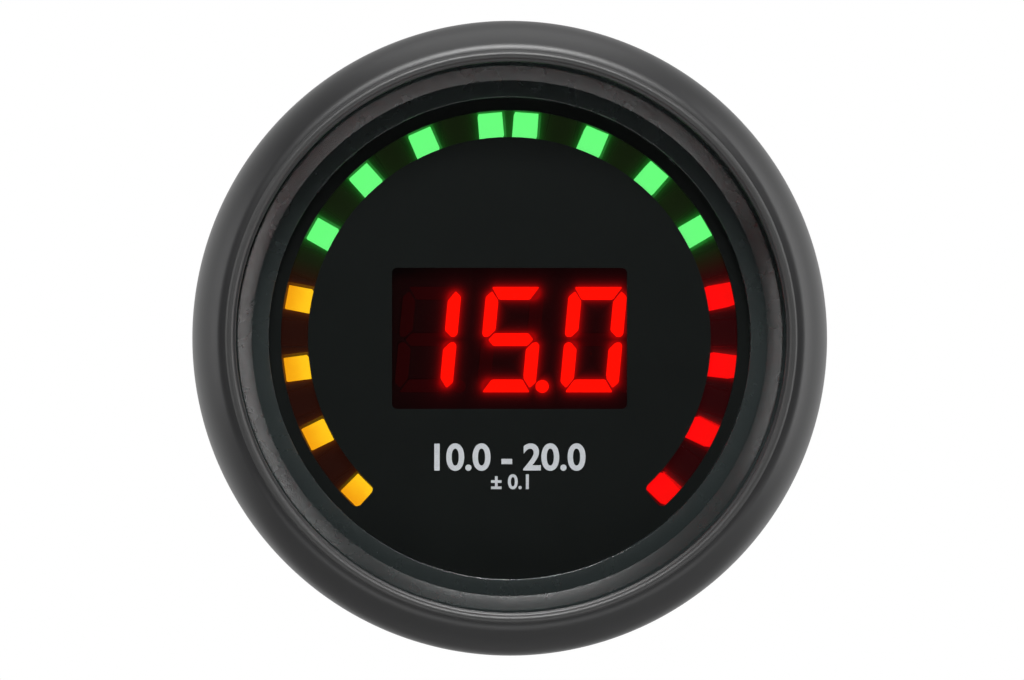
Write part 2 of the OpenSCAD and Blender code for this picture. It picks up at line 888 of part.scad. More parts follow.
// Inlet socket: a shrouded mouth for the harness plug, with a key slot in its lower wall
module inlet_socket() {
    color("dimgray")
        posed()
            translate([0, -inlet_drop, 0])
                difference() {
                    block([0, 0], inlet_w, inlet_h, inlet_mouth, control_board_low);
                    block([0, 0], inlet_w - 2 * inlet_wall, inlet_h - 2 * inlet_wall,
                        inlet_mouth - over, inlet_floor);
                    block([0, -inlet_h / 2], key_w, 2 * inlet_wall + over, inlet_mouth - over,
                        inlet_mouth + key_depth);
                    for (i = [0:inlet_columns - 1], side = [-1, 1])
                        block([(i - (inlet_columns - 1) / 2) * inlet_pin_gap, side * inlet_pin_gap / 2],
                            inlet_pin_t, inlet_pin_t, inlet_floor - over, control_board_low + over);
                }
}

// Pins in the inlet's mouth
module inlet_pins() {
    color("gold")
        posed()
            at_inlet_pins()
                block([0, 0], inlet_pin_t, inlet_pin_t,
                    inlet_mouth + inlet_pin_recess, control_board_top + inlet_pin_tail);
}

// Case: a drawn cup with a turned-out flange at its mouth and holes in its rear wall
module case() {
    bend = [case_r + flange_bend_r, flange_low - flange_bend_r];
    edge = [case_r - case_edge_r, case_edge_r - case_depth];
    section = concat(
        [[0, -case_depth]],
        arc(edge, case_edge_r, -90, 0),
        arc(bend, flange_bend_r, 180, 90),
        [[flange_r, flange_low], [flange_r, dial_top]],
        arc(bend, flange_bend_r + case_t, 90, 180),
        arc(edge, case_edge_r - case_t, 0, -90),
        [[0, case_floor]]
    );
    color("gray")
        posed()
            difference() {
                rotate_extrude()
                    polygon(section);
                for (side = [-1, 1])
                    translate([side * stud_x, 0, 0])
                        disc(stud_r + stud_fit, -case_depth - over, case_floor + over);
                at_spacers()
                    disc(spacer_thread_r + stub_fit, -case_depth - over, case_floor + over);
                block([0, -inlet_drop], inlet_w + 2 * inlet_fit, inlet_h + 2 * inlet_fit,
                    -case_depth - over, case_floor + over);
            }
}

// Cross-slotted screws that hold the posts from behind
module case_screws() {
    color("silver")
        posed()
            at_spacers()
                difference() {
                    union() {
                        disc(screw_head_r, -case_depth - screw_head_h, -case_depth);
                        disc(spacer_thread_r, -case_depth, case_floor + thread_reach);
                    }
                    for (turn = [0, 90])
                        rotate([0, 0, turn])
                            block([0, 0], screw_slot_w, screw_head_r, -case_depth - screw_head_h - over,
                                -case_depth - screw_head_h / 2);
                }
}

// One stud: a round head inside the case, and a threaded end with a chamfer behind it
module stud(side) {
    tip = -case_depth - stud_l;
    color("silver")
        posed()
            translate([side * stud_x, 0, 0]) {
                disc(stud_head_r, case_floor, case_floor + stud_head_t);
                disc(stud_r, tip + stud_chamfer, case_floor);
                translate([0, 0, tip])
                    cylinder(r1 = stud_r - stud_chamfer, r2 = stud_r, h = stud_chamfer);
            }
}

// Hexagon nut that locks a stud to the case's rear wall
module stud_nut(side) {
    low = -case_depth - stud_nut_t;
    corner_r = stud_nut_af / 2 / cos(30);
    color("silver")
        posed()
            translate([side * stud_x, 0, 0])
                difference() {
                    intersection() {
                        hexagon(stud_nut_af, low, -case_depth);
                        translate([0, 0, low])
                            cylinder(r1 = corner_r - nut_chamfer, r2 = corner_r - nut_chamfer + 2 * stud_nut_t,
                                h = stud_nut_t);
                    }
                    disc(stud_r + thread_fit, low - over, -case_depth + over);
                }
}

// A round-ended bar along x, its middle at a level
module capsule(radius, length, level) {
    translate([-length / 2, 0, level])
        rotate([0, 90, 0])
            cylinder(r = radius, h = length, $fn = 48);
    for (side = [-1, 1])
        translate([side * length / 2, 0, level])
            sphere(r = radius, $fn = 48);
}

// The bracket's outline from the side, which rounds the corners of the legs' tips
module strip_side(half_w) {
    rotate([90, 0, 90])
        linear_extrude(2 * half_w, center = true)
            polygon(concat(
                [[-strip_w / 2, web_out], [strip_w / 2, web_out]],
                arc([strip_w / 2 - strip_corner_r, leg_tip - strip_corner_r], strip_corner_r, 0, 90),
                arc([strip_corner_r - strip_w / 2, leg_tip - strip_corner_r], strip_corner_r, 90, 180)
            ));
}

// Clamp bracket: a strip bent to a U round the case. Its legs push on the panel, and the pressed rib
// stiffens its back between the stud holes.
module clamp_bracket() {
    leg_in = case_r + leg_gap;
    leg_out = leg_in + strip_t;
    outer_bend = strip_bend_r + strip_t;
    bend_x = leg_in - strip_bend_r;
    bend_z = web_in + strip_bend_r;
    outline = concat(
        [[leg_out, leg_tip]],
        arc([bend_x, bend_z], outer_bend, 0, -90),
        arc([-bend_x, bend_z], outer_bend, -90, -180),
        [[-leg_out, leg_tip], [-leg_in, leg_tip]],
        arc([-bend_x, bend_z], strip_bend_r, -180, -90),
        arc([bend_x, bend_z], strip_bend_r, -90, 0),
        [[leg_in, leg_tip]]
    );
    color("lightgray")
        posed()
            difference() {
                union() {
                    intersection() {
                        rotate([90, 0, 0])
                            linear_extrude(strip_w, center = true)
                                polygon(outline);
                        strip_side(leg_out);
                    }
                    intersection() {
                        capsule(rib_r, rib_l, web_in);
                        block([0, 0], 2 * leg_in, strip_w, web_out - rib_r, web_in);
                    }
                }
                capsule(rib_r - strip_t, rib_l, web_in);
                for (side = [-1, 1])
                    translate([side * stud_x, 0, 0])
                        disc(stud_r + strip_hole_fit, web_out - over, web_in + over);
            }
}

// Split lock washer between the bracket and a thumb nut
module lock_washer(side) {
    color("silver")
        posed()
            translate([side * stud_x, 0, 0])
                difference() {
                    ring(washer_r, stud_r + washer_fit, washer_out, web_out);
                    block([0, washer_r], washer_split, 2 * washer_r, washer_out - over, web_out + over);
                }
}

// Knurled thumb nut with a plain collar towards the bracket
module thumb_nut(side) {
    knurl = [for (i = [0:2 * knurl_count - 1])
        let (r = thumb_nut_r - (i % 2) * knurl_depth, a = i * 180 / knurl_count)
        [r * cos(a), r * sin(a)]];
    color("silver")
        posed()
            translate([side * stud_x, 0, 0])
                difference() {
                    union() {
                        disc(nut_collar_r, washer_out - nut_collar_h, washer_out);
                        translate([0, 0, nut_out])
                            linear_extrude(thumb_nut_h - nut_collar_h)
                                polygon(knurl);
                    }
                    disc(stud_r + thread_fit, nut_out - over, washer_out + over);
                }
}

bezel();
lens();
lens_gasket();
sight_ring();
dial_face();
arc_filter();
display_filter();
light_housing();
for (i = [1:len(amber_places)])
    coloured_light(amber_places, i, "orange");
for (i = [1:len(green_places)])
    coloured_light(green_places, i, "lime");
for (i = [1:len(red_places)])
    coloured_light(red_places, i, "red");
lights_unlit();
display_case();
for (digit = [0:2]) {
    digit_lit_segments(digit);
    digit_unlit_segments(digit);
}
decimal_point_lit();
decimal_points_unlit();
display_pins();
led_board();
board_spacers();
header_base(led_board_low - header_base_h);  // header_base_front
header_base(control_board_top);  // header_base_rear
header_pins();
control_board();
microcontroller();
crystal();
voltage_regulator();
supply_capacitor();
board_posts();
inlet_socket();
inlet_pins();
case();
case_screws();
stud(-1);  // stud_left
stud(1);  // stud_right
stud_nut(-1);  // stud_nut_left
stud_nut(1);  // stud_nut_right
clamp_bracket();
lock_washer(-1);  // lock_washer_left
lock_washer(1);  // lock_washer_right
thumb_nut(-1);  // thumb_nut_left
thumb_nut(1);  // thumb_nut_right
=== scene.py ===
import math

import bmesh
import bpy
import numpy as np
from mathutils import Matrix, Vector


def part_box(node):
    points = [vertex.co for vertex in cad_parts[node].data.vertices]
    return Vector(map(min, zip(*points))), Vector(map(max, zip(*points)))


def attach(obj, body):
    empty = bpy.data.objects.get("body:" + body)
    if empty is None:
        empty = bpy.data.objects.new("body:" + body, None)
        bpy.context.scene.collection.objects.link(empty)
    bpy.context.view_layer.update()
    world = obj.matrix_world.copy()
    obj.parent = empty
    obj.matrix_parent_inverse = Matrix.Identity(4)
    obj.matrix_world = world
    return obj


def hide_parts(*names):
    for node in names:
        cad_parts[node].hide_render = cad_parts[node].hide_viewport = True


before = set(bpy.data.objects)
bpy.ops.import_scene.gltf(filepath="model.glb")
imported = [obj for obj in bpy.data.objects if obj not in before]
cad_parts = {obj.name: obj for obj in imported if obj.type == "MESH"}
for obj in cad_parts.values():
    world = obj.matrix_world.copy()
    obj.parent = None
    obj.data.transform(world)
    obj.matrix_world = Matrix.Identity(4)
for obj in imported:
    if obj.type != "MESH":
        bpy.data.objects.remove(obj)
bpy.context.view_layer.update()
scene = bpy.context.scene
scene.view_settings.view_transform = "Standard"
MM = 0.001

# Camera: level with the gauge's middle, a little to the left and a little below, as the photograph
# was taken. Its aim lies beside the middle, because the gauge isn't quite centred in the picture.
camera_place = Vector((-11.0, -400.0, -8.0)) * MM
camera_aim = Vector((0.13, -4.6, -0.21)) * MM
camera_data = bpy.data.cameras.new("photo_camera")
camera_data.sensor_width = 36.0
camera_data.lens = 156.95
camera = bpy.data.objects.new("photo_camera", camera_data)
camera.location = camera_place
camera.rotation_euler = (camera_aim - camera_place).to_track_quat("-Z", "Y").to_euler()
scene.collection.objects.link(camera)
scene.camera = camera


# Studio: a white backdrop behind the gauge, a dark room behind the camera, and five soft lamps.
# The backdrop's light fades out from the far side of the room to the camera's side, and towards the ceiling.
def add_node(tree, kind, sockets=(), **settings):
    """Adds one shader node. A socket that is given another node's output is linked to it, any other is set."""
    made = tree.nodes.new("ShaderNode" + kind)
    for name, value in settings.items():
        setattr(made, name, value)
    for name, value in dict(sockets).items():
        named = [s for s in made.inputs if s.name == name and s.enabled]
        socket = named[0] if named else made.inputs[name]
        if isinstance(value, bpy.types.NodeSocket):
            tree.links.new(value, socket)
        else:
            socket.default_value = value
    return made


dark_side_level = 0.012
bright_side_level = 1.0
fade_from = -0.3
fade_to = 0.5
ceiling_share = 0.3
ceiling_from = 0.2
ceiling_to = 0.9
world = bpy.data.worlds.new("studio")
world.use_nodes = True
world.node_tree.nodes.clear()
room = world.node_tree
direction = add_node(room, "SeparateXYZ", {"Vector": add_node(room, "TexCoord").outputs["Generated"]})
room_level = add_node(room, "MapRange", {
    "Value": direction.outputs["Y"], "From Min": fade_from, "From Max": fade_to,
    "To Min": dark_side_level, "To Max": bright_side_level}, interpolation_type="SMOOTHSTEP")
below_ceiling = add_node(room, "MapRange", {
    "Value": direction.outputs["Z"], "From Min": ceiling_from, "From Max": ceiling_to,
    "To Min": 1.0, "To Max": ceiling_share}, interpolation_type="SMOOTHSTEP")
lit_level = add_node(room, "Math", {
    0: room_level.outputs["Result"], 1: below_ceiling.outputs["Result"]}, operation="MULTIPLY")
shown_level = add_node(room, "Math", {
    0: lit_level.outputs["Value"], 1: add_node(room, "LightPath").outputs["Is Camera Ray"]},
    operation="MAXIMUM")
backdrop = add_node(room, "Background", {
    "Color": (1.0, 1.0, 1.0, 1.0), "Strength": shown_level.outputs["Value"]})
room.links.new(backdrop.outputs["Background"], add_node(room, "OutputWorld").inputs["Surface"])
scene.world = world


def soft_lamp(name, place, width, height, level):
    """A soft box that faces the gauge's middle. Its power is its brightness times pi times its area."""
    data = bpy.data.lights.new(name, "AREA")
    data.shape = "RECTANGLE"
    data.size = width
    data.size_y = height
    data.energy = level * math.pi * width * height
    lamp = bpy.data.objects.new(name, data)
    lamp.location = place
    lamp.rotation_euler = (-Vector(place)).to_track_quat("-Z", "Y").to_euler()
    scene.collection.objects.link(lamp)


soft_lamp("left_lamp", (-0.62, -0.109, 0.085), 0.27, 0.5, 1.9)
soft_lamp("right_lamp", (0.615, -0.109, 0.127), 0.27, 0.95, 2.9)
soft_lamp("top_lamp", (0.0, -0.4525, 0.4525), 0.32, 0.18, 25.0)
soft_lamp("overhead_lamp", (0.0, 0.1, 0.65), 0.6, 0.5, 1.2)
soft_lamp("low_lamp", (0.0, -0.39, -0.42), 0.95, 0.34, 1.4)


# Floor: a round pale table 450 mm below the gauge's middle. Near its rim it turns into the backdrop's
# white, so that no edge shows.
def turned_grid(section, turns, centre=(0.0, 0.0)):
    """Points of a surface of revolution round a line along Y: (r, y) goes to (x0 + r cos a, y, z0 + r sin a)."""
    turn = np.linspace(0.0, 2.0 * math.pi, turns, endpoint=False)[:, None]
    radius, level = np.asarray(section, float).T[:, None, :]
    x = centre[0] + radius * np.cos(turn)
    z = centre[1] + radius * np.sin(turn)
    return np.stack([x, np.broadcast_to(level, x.shape), z], axis=2)


def grid_faces(rows, columns, close_rows, close_columns):
    """Quads between neighbouring points of a grid, joined round at the ends where that is asked for."""
    row = np.arange(rows if close_rows else rows - 1)[:, None]
    column = np.arange(columns if close_columns else columns - 1)[None, :]
    next_row = (row + 1) % rows
    next_column = (column + 1) % columns
    corners = [row * columns + column, next_row * columns + column,
               next_row * columns + next_column, row * columns + next_column]
    return np.stack([np.broadcast_to(c, (row.size, column.size)).ravel() for c in corners], axis=1)


def new_piece(name, points, faces, sharp_angle=32.0):
    """A mesh piece from points in mm. Doubled points are merged, faces turned outwards, edges sharpened."""
    mesh = bpy.data.meshes.new(name)
    mesh.from_pydata((np.reshape(points, (-1, 3)) * MM).tolist(), [], [list(f) for f in faces])
    shell = bmesh.new()
    shell.from_mesh(mesh)
    bmesh.ops.remove_doubles(shell, verts=shell.verts, dist=0.0005 * MM)
    bmesh.ops.recalc_face_normals(shell, faces=shell.faces)
    shell.to_mesh(mesh)
    shell.free()
    mesh.shade_smooth()
    mesh.set_sharp_from_angle(angle=math.radians(sharp_angle))
    piece = bpy.data.objects.new(name, mesh)
    scene.collection.objects.link(piece)
    return piece


floor_level = -450.0
floor_r = 900.0
fade_start = 0.85
fade_end = 0.98
floor_section = [(0.0, 0.0), (floor_r, 0.0)]
floor_grid = turned_grid(floor_section, 96)[:, :, [0, 2, 1]] + [0.0, 0.0, floor_level]
floor = new_piece("floor", floor_grid, grid_faces(96, 2, True, False))
floor_paint = bpy.data.materials.new("floor_paint")
floor_paint.use_nodes = True
floor_paint.node_tree.nodes.clear()
tree = floor_paint.node_tree
reach = add_node(tree, "VectorMath", {0: add_node(tree, "TexCoord").outputs["Object"]}, operation="LENGTH")
fade = add_node(tree, "MapRange", {
    "Value": reach.outputs["Value"], "From Min": fade_start, "From Max": fade_end},
    interpolation_type="SMOOTHSTEP")
pale = add_node(tree, "BsdfPrincipled", {"Base Color": (0.45, 0.45, 0.45, 1.0), "Roughness": 0.7})
glow = add_node(tree, "Emission", {"Color": (1.0, 1.0, 1.0, 1.0)})
blend = add_node(tree, "MixShader", {0: fade.outputs["Result"], 1: pale.outputs[0], 2: glow.outputs[0]})
tree.links.new(blend.outputs[0], add_node(tree, "OutputMaterial").inputs["Surface"])
floor.data.materials.append(floor_paint)


# Case: a drawn steel cup, blackened all over. The drawing leaves fine lines along its side, and the
# black finish has a soft mottle and small scuffs.
def finish(name, colour, roughness, metallic=0.0, tone=0.2, tone_size=2.0, grain_size=0.2, grain_depth=0.004,
           rough_swing=0.06, stretch=(1.0, 1.0, 1.0), **sockets):
    """A finish whose colour, gloss and height each follow noise. Sizes are in mm, tone and swing are shares."""
    made = bpy.data.materials.new(name)
    made.use_nodes = True
    made.node_tree.nodes.clear()
    tree = made.node_tree
    place = add_node(tree, "Mapping", {
        "Vector": add_node(tree, "TexCoord").outputs["Object"], "Scale": stretch}).outputs["Vector"]
    mottle = add_node(tree, "TexNoise", {"Vector": place, "Scale": 1.0 / (tone_size * MM), "Detail": 4.0})
    tint = add_node(tree, "Mix", {
        "Factor": mottle.outputs["Fac"],
        "A": (*[c * (1.0 - tone) for c in colour], 1.0),
        "B": (*[min(1.0, c * (1.0 + tone)) for c in colour], 1.0)}, data_type="RGBA")
    gloss = add_node(tree, "MapRange", {
        "Value": mottle.outputs["Fac"], "From Min": 0.3, "From Max": 0.7,
        "To Min": roughness - rough_swing, "To Max": roughness + rough_swing})
    grain = add_node(tree, "TexNoise", {"Vector": place, "Scale": 1.0 / (grain_size * MM), "Detail": 3.0})
    bump = add_node(tree, "Bump", {
        "Height": grain.outputs["Fac"], "Distance": grain_depth * MM, "Strength": 1.0})
    shader = add_node(tree, "BsdfPrincipled", {
        "Base Color": colour_output(tint), "Roughness": gloss.outputs["Result"], "Metallic": metallic,
        "Normal": bump.outputs["Normal"], **sockets})
    tree.links.new(shader.outputs[0], add_node(tree, "OutputMaterial").inputs["Surface"])
    return made


def colour_output(mix):
    """The colour output of a colour mix, which has one output for each kind of data."""
    return next(o for o in mix.outputs if o.type == "RGBA" and o.enabled)


def dress(material, *nodes):
    """Gives CAD nodes a material, in the slots that they already have."""
    for node in nodes:
        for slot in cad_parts[node].material_slots:
            slot.material = material


case_black = finish("case_black", (0.03, 0.03, 0.032), 0.42, tone=0.15, tone_size=1.6, grain_size=0.25,
                    grain_depth=0.006, rough_swing=0.02, stretch=(1.0, 0.4, 1.0))
dress(case_black, "case")

# Studs: threaded steel rods with a round head inside the case, zinc plated. Each is locked to the case's
# rear wall by a hexagon nut. The thread has 32 turns to the inch.
stud_low, stud_high = (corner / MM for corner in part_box("stud_left"))
stud_x = -(stud_low.x + stud_high.x) / 2
stud_r = 2.083
stud_head_r = (stud_high.x - stud_low.x) / 2
stud_head_t = 1.4
stud_chamfer = 0.5
pitch = 0.794
thread_depth = 0.42
flank_slope = 1.25
crest_flat = 0.12
thread_turns = 40
rows_a_pitch = 8


def stud_surface(side):
    """The thread's radius falls with the distance from its crest, and the crest climbs one pitch a turn."""
    turns = np.linspace(0.0, 1.0, thread_turns, endpoint=False)[:, None]
    head_end = stud_low.y + stud_head_t
    rows = int((stud_high.y - head_end) / pitch * rows_a_pitch)
    level = np.linspace(head_end, stud_high.y, rows)[None, :]
    phase = (level / pitch - turns) % 1.0
    groove = np.clip(flank_slope * (1.0 - np.abs(2.0 * phase - 1.0)) - crest_flat, 0.0, 1.0)
    tip_limit = stud_r - np.clip(level - (stud_high.y - stud_chamfer), 0.0, stud_chamfer)
    radius = np.minimum(stud_r - thread_depth * groove, tip_limit)
    head = np.array([(0.0, stud_low.y), (stud_head_r, stud_low.y), (stud_head_r, head_end), (stud_r, head_end)])
    tip = np.array([(0.0, stud_high.y)])
    around = np.ones((thread_turns, 1))
    radius = np.hstack([around * head[:, 0], radius, around * tip[:, 0]])
    level = np.hstack([around * head[:, 1], around * level, around * tip[:, 1]])
    angle = 2.0 * math.pi * turns
    return np.stack([side * stud_x + radius * np.cos(angle), level, radius * np.sin(angle)], axis=2)


zinc = finish("zinc_plate", (0.62, 0.63, 0.64), 0.3, metallic=1.0, tone=0.12, tone_size=1.2,
              grain_size=0.15, grain_depth=0.002)
for side, label in ((-1, "left"), (1, "right")):
    surface = stud_surface(side)
    stud = new_piece(f"stud_{label}_threaded", surface,
                     grid_faces(*surface.shape[:2], True, False), sharp_angle=50.0)
    stud.data.materials.append(zinc)
    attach(stud, "case")
    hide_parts(f"stud_{label}")
dress(zinc, "stud_nut_left", "stud_nut_right")

# Case screws, board posts and spacers: cross-slotted steel screws from behind, and hexagon brass bars.
screw_steel = finish("screw_steel", (0.55, 0.55, 0.56), 0.34, metallic=1.0, tone=0.15, tone_size=0.8,
                     grain_size=0.12, grain_depth=0.002)
dress(screw_steel, "case_screws")
spacer_brass = finish("spacer_brass", (0.72, 0.52, 0.24), 0.3, metallic=1.0, tone_size=1.0,
                      grain_size=0.1, grain_depth=0.002, stretch=(1.0, 0.2, 1.0))
dress(spacer_brass, "board_posts", "board_spacers")

# Boards: green glass-fibre laminate with solder mask over the tracks, held by the brass posts and spacers.
# The chips, the crystal, the capacitor and the header between both boards are soldered to them.
board_green = finish("board_green", (0.02, 0.13, 0.05), 0.35, tone=0.35, tone_size=1.2,
                     grain_size=0.4, grain_depth=0.01)
dress(board_green, "led_board", "control_board")
chip_black = finish("chip_black", (0.02, 0.02, 0.021), 0.55, tone_size=0.6, grain_size=0.08, grain_depth=0.004)
dress(chip_black, "microcontroller", "voltage_regulator")
crystal_can = finish("crystal_can", (0.7, 0.69, 0.66), 0.22, metallic=1.0, tone=0.1, stretch=(1.0, 1.0, 0.2))
dress(crystal_can, "crystal")
capacitor_can = finish("capacitor_can", (0.05, 0.055, 0.12), 0.3, tone_size=1.0)
dress(capacitor_can, "supply_capacitor")
header_black = finish("header_black", (0.025, 0.025, 0.026), 0.5, tone_size=0.8)
dress(header_black, "header_base_front", "header_base_rear")
pin_metal = finish("pin_metal", (0.74, 0.66, 0.46), 0.25, metallic=1.0, tone=0.1, tone_size=0.5,
                   grain_size=0.08, grain_depth=0.001)
dress(pin_metal, "header_pins", "display_pins", "inlet_pins")

# Inlet socket: glass-filled black plastic, moulded, with a fine spark-eroded surface. It is soldered to the
# control board by its pins and looks out of an opening in the case's rear wall.
inlet_plastic = finish("inlet_plastic", (0.028, 0.028, 0.03), 0.5, tone=0.2, tone_size=0.8,
                       grain_size=0.18, grain_depth=0.008)
dress(inlet_plastic, "inlet_socket")

# Light housing: a block of black plastic that keeps each light's glow in its own pocket. It stands on the
# light board, and the dial lies on its front.
housing_plastic = finish("housing_plastic", (0.004, 0.004, 0.004), 0.6, tone_size=0.8,
                         **{"Specular IOR Level": 0.05})
dress(housing_plastic, "light_housing")

# Square lights: diffusing caps of cast resin over the light chips, set in the housing's pockets. They glow
# evenly, the amber ones a little more orange towards the dial's edge. What lies in front takes some of the
# glow, which their strength makes up.
film_alpha = 0.3
glass_share = 0.92
film_share = (1.0 - film_alpha) ** 2
lamp_strength = 1.0 / (film_share * glass_share)
ring_inner_mm = 18.1
ring_outer_mm = 20.3
cloud_mm = 0.8


def light_finish(name, inner_colour, outer_colour, strength=lamp_strength):
    """A glow whose colour runs from the dial's middle to its edge by the distance from the gauge's axis."""
    made = bpy.data.materials.new(name)
    made.use_nodes = True
    made.node_tree.nodes.clear()
    tree = made.node_tree
    place = add_node(tree, "TexCoord").outputs["Object"]
    flat = add_node(tree, "Mapping", {"Vector": place, "Scale": (1.0, 0.0, 1.0)})
    reach = add_node(tree, "VectorMath", {0: flat.outputs["Vector"]}, operation="LENGTH")
    cloud = add_node(tree, "TexNoise", {"Vector": place, "Scale": 1.0 / (cloud_mm * MM), "Detail": 2.0})
    blur = add_node(tree, "Math", {0: cloud.outputs["Fac"], 1: cloud_mm * MM, 2: reach.outputs["Value"]},
                    operation="MULTIPLY_ADD")
    run = add_node(tree, "MapRange", {
        "Value": blur.outputs["Value"], "From Min": (ring_inner_mm + cloud_mm / 2) * MM,
        "From Max": (ring_outer_mm + cloud_mm / 2) * MM}, interpolation_type="SMOOTHSTEP")
    tint = add_node(tree, "Mix", {
        "Factor": run.outputs["Result"], "A": (*inner_colour, 1.0), "B": (*outer_colour, 1.0)},
        data_type="RGBA")
    shader = add_node(tree, "BsdfPrincipled", {
        "Base Color": (0.0008, 0.0008, 0.0008, 1.0), "Roughness": 0.6, "Specular IOR Level": 0.0,
        "Emission Color": colour_output(tint), "Emission Strength": strength})
    tree.links.new(shader.outputs[0], add_node(tree, "OutputMaterial").inputs["Surface"])
    return made


amber_glow = light_finish("light_amber", (0.95, 0.56, 0.01), (0.80, 0.34, 0.004))
green_glow = light_finish("light_green", (0.135, 0.80, 0.195), (0.13, 0.83, 0.19))
red_glow = light_finish("light_red", (0.90, 0.0012, 0.0012), (0.78, 0.002, 0.001))
places = 30
place_turn = 9.264
arc_turn = -0.5
arc_r = 19.27
arc_middle = np.array([0.1, -0.06])
light_side = 2.125
light_bend = 0.08
light_lift = 0.06
edge_break = 0.04
lit = {"amber": (0, 2, 4, 6), "green": (8, 10, 12, 14, 15, 17, 19, 21), "red": (23, 25, 27, 29)}


def light_frame(number):
    """A light's middle and its two directions, across and outward, from its angle clockwise from the top."""
    angle = math.radians((number - (places - 1) / 2) * place_turn + arc_turn)
    across = np.array([math.cos(angle), -math.sin(angle)])
    outward = np.array([math.sin(angle), math.cos(angle)])
    return arc_middle + arc_r * outward, across, outward


def rounded(corners, bend):
    """A polygon's outline. Each corner is a curve that starts and ends a bend's length away from it."""
    corners = np.asarray(corners, float)
    share = np.linspace(0.0, 1.0, 6)[:, None]
    parts = []
    for here, before, after in zip(corners, np.roll(corners, 1, axis=0), np.roll(corners, -1, axis=0)):
        start = here + (before - here) * bend / np.linalg.norm(before - here)
        end = here + (after - here) * bend / np.linalg.norm(after - here)
        parts.append(start * (1 - share) ** 2 + 2 * here * share * (1 - share) + end * share ** 2)
    return np.vstack(parts)


def bars(name, outlines, front, back):
    """Straight bars along Y with the given outlines. Their front edges are broken by a small slope."""
    points, faces, start = [], [], 0
    for outline in outlines:
        middle = outline.mean(axis=0)
        reach = np.linalg.norm(outline - middle, axis=1, keepdims=True)
        inset = middle + (outline - middle) * (1.0 - edge_break / reach)
        count = len(outline)
        for ring, level in ((inset, front), (outline, front + edge_break), (outline, back)):
            points.append(np.column_stack([ring[:, 0], np.full(count, level), ring[:, 1]]))
        faces += (grid_faces(3, count, False, True) + start).tolist()
        faces.append(list(range(start, start + count)))
        faces.append(list(range(start + 2 * count, start + 3 * count)))
        start += 3 * count
    return new_piece(name, np.vstack(points), faces)


for colour, glow_finish in (("amber", amber_glow), ("green", green_glow), ("red", red_glow)):
    for count, number in enumerate(lit[colour], 1):
        node = f"light_{colour}_{count}"
        low, high = (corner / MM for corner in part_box(node))
        middle, across, outward = light_frame(number)
        corners = [middle + light_side / 2 * (i * across + j * outward)
                   for i, j in ((-1, -1), (1, -1), (1, 1), (-1, 1))]
        cap = bars(f"{node}_cap", [rounded(corners, light_bend)], low.y - light_lift, high.y)
        cap.data.materials.append(glow_finish)
        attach(cap, "case")
        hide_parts(node)
light_dark = finish("light_dark", (0.004, 0.0035, 0.003), 0.5, tone_size=0.6, **{"Specular IOR Level": 0.05})
dress(light_dark, "lights_unlit")

# Display: a three-digit module in a dark red case. Its segments are slots filled with diffusing resin, whose
# slanted ends leave narrow gaps, and the whole digit leans to the right.
segment_glow = light_finish("segment_lit", (1.0, 0.004, 0.0), (1.0, 0.004, 0.0))
# Unlit segments get a faint red painted glow, though nothing lights them.
segment_dark = light_finish("segment_dark", (0.010, 0.0, 0.0001), (0.010, 0.0, 0.0001))
digit_step = 7.426
digit_w = 5.201
digit_h = 9.434
segment_w = 1.15
digits_middle = (0.143, -0.094)
lean = math.tan(math.radians(5.4))
lit_segments = ("bc", "acdfg", "abcdef")
point_place = (2.957, -4.286)
point_r = 0.58
segment_bend = 0.16
half_w = digit_w / 2 - segment_w / 2
half_h = digit_h / 2 - segment_w / 2
half_s = segment_w / 2
bar_corners = [(-half_w - 0.1, half_h + half_s), (half_w + 0.1, half_h + half_s),
               (half_w - half_s - 0.08, half_h - half_s), (-half_w + half_s + 0.08, half_h - half_s)]
post_corners = [(half_w + 0.05, half_h + 0.2), (half_w + half_s, half_h - 0.3), (half_w + half_s, 0.5),
                (half_w + half_s - 0.2, 0.24), (half_w, 0.24), (half_w - half_s, 0.85),
                (half_w - half_s, half_h - 0.67)]
middle_corners = [(half_w - 0.02, 0.0), (half_w - 0.5, -half_s), (-half_w + 0.5, -half_s),
                  (-half_w + 0.02, 0.0), (-half_w + 0.5, half_s), (half_w - 0.5, half_s)]
segment_shapes = {"a": (bar_corners, 1, 1), "d": (bar_corners, 1, -1), "g": (middle_corners, 1, 1),
                  "b": (post_corners, 1, 1), "c": (post_corners, 1, -1),
                  "e": (post_corners, -1, -1), "f": (post_corners, -1, 1)}


def digit_outlines(digit, names):
    """Outlines of a digit's segments. Each is mirrored from one shape, then leaned and moved to its place."""
    outlines = []
    for name in names:
        corners, side, up = segment_shapes[name]
        upright = rounded(corners, segment_bend) * (side, up)
        x = upright[:, 0] + upright[:, 1] * lean + (digit - 1) * digit_step
        outlines.append(np.column_stack([x, upright[:, 1]]) + digits_middle)
    return outlines


def point_outline(digit):
    """The outline of a digit's round decimal point."""
    turn = np.linspace(0.0, 2.0 * math.pi, 40, endpoint=False)
    middle = (point_place[0] + (digit - 1) * digit_step, point_place[1])
    return np.column_stack([middle[0] + point_r * np.cos(turn), middle[1] + point_r * np.sin(turn)])


segment_groups = {"decimal_point_lit": [point_outline(1)],
                  "decimal_points_unlit": [point_outline(0), point_outline(2)]}
for digit, side in enumerate(("left", "middle", "right")):
    on = lit_segments[digit]
    segment_groups[f"digit_{side}_lit"] = digit_outlines(digit, on)
    segment_groups[f"digit_{side}_unlit"] = digit_outlines(digit, [s for s in "abcdefg" if s not in on])
for node, outlines in segment_groups.items():
    low, high = (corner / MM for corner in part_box(node))
    group = bars(f"{node}_resin", outlines, low.y - light_lift, high.y)
    group.data.materials.append(segment_dark if "unlit" in node else segment_glow)
    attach(group, "case")
    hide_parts(node)
display_plastic = finish("display_plastic", (0.008, 0.0006, 0.0006), 0.5, tone_size=0.8,
                         **{"Specular IOR Level": 0.05})
dress(display_plastic, "display_case")


